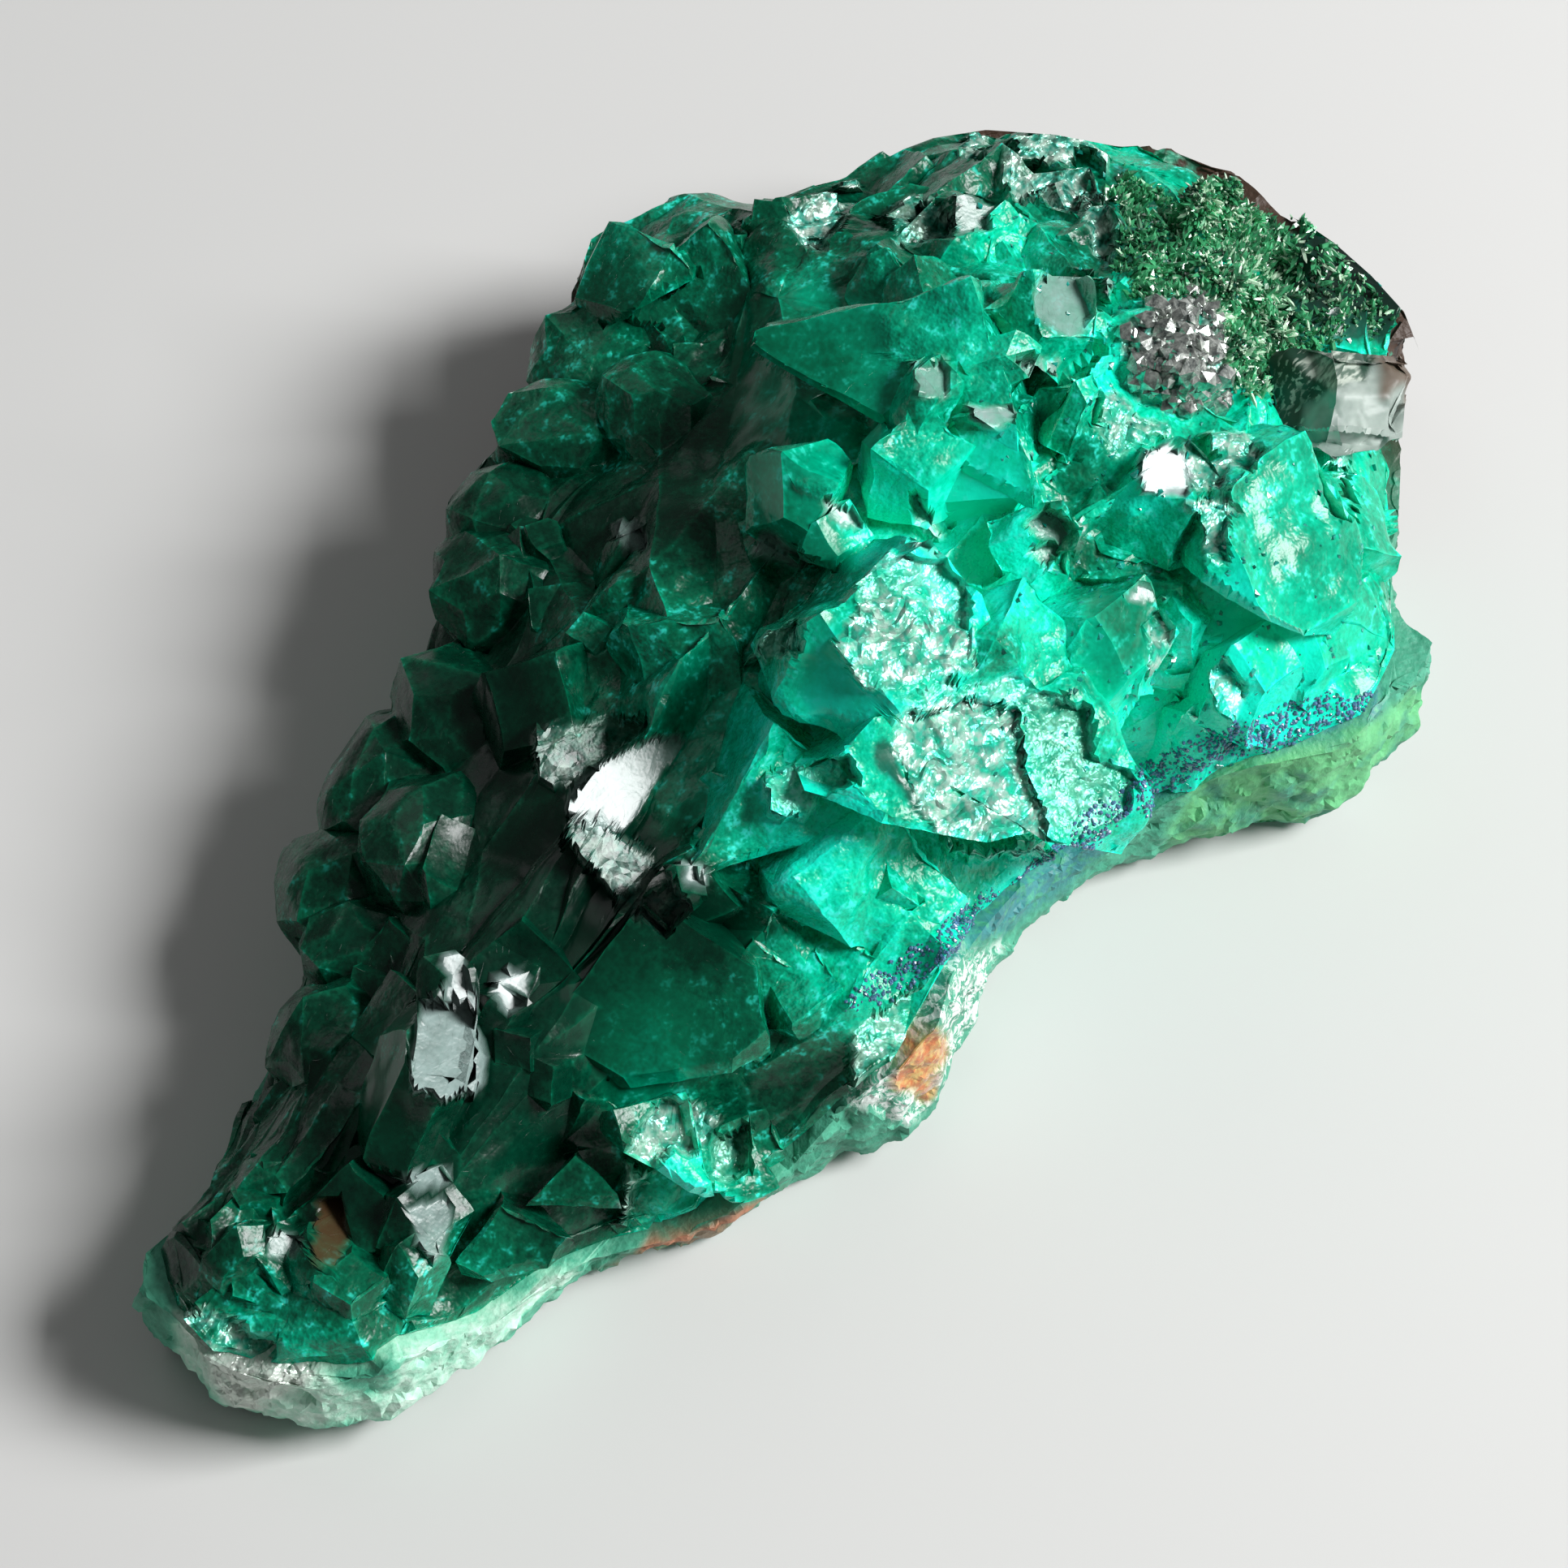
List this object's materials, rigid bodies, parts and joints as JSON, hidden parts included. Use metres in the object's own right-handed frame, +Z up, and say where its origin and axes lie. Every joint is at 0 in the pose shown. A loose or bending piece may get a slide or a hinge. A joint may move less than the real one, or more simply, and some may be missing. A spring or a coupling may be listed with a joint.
{
  "type": "dioptase mineral specimen",
  "caption": "Leaf-shaped plate of host rock with a crust of fused green dioptase crystals, fine druse and one pale crystal, lying on a flat underside.",
  "frame": {"origin": "middle of the bounding box at the flat underside of the rock", "axes": "+X along the specimen towards its broad head, +Y across it away from the side that shows the rock rim, +Z up"},
  "size_m": [0.0408, 0.0234, 0.0126],
  "materials": {
    "host_rock": "matte",
    "dioptase": "gloss",
    "pale_mineral": "gloss"
  },
  "bodies": {
    "root": {"matrix": "host_rock", "dioptase_crystals": "dioptase", "pale_crystal": "pale_mineral"}
  },
  "joints": []
}
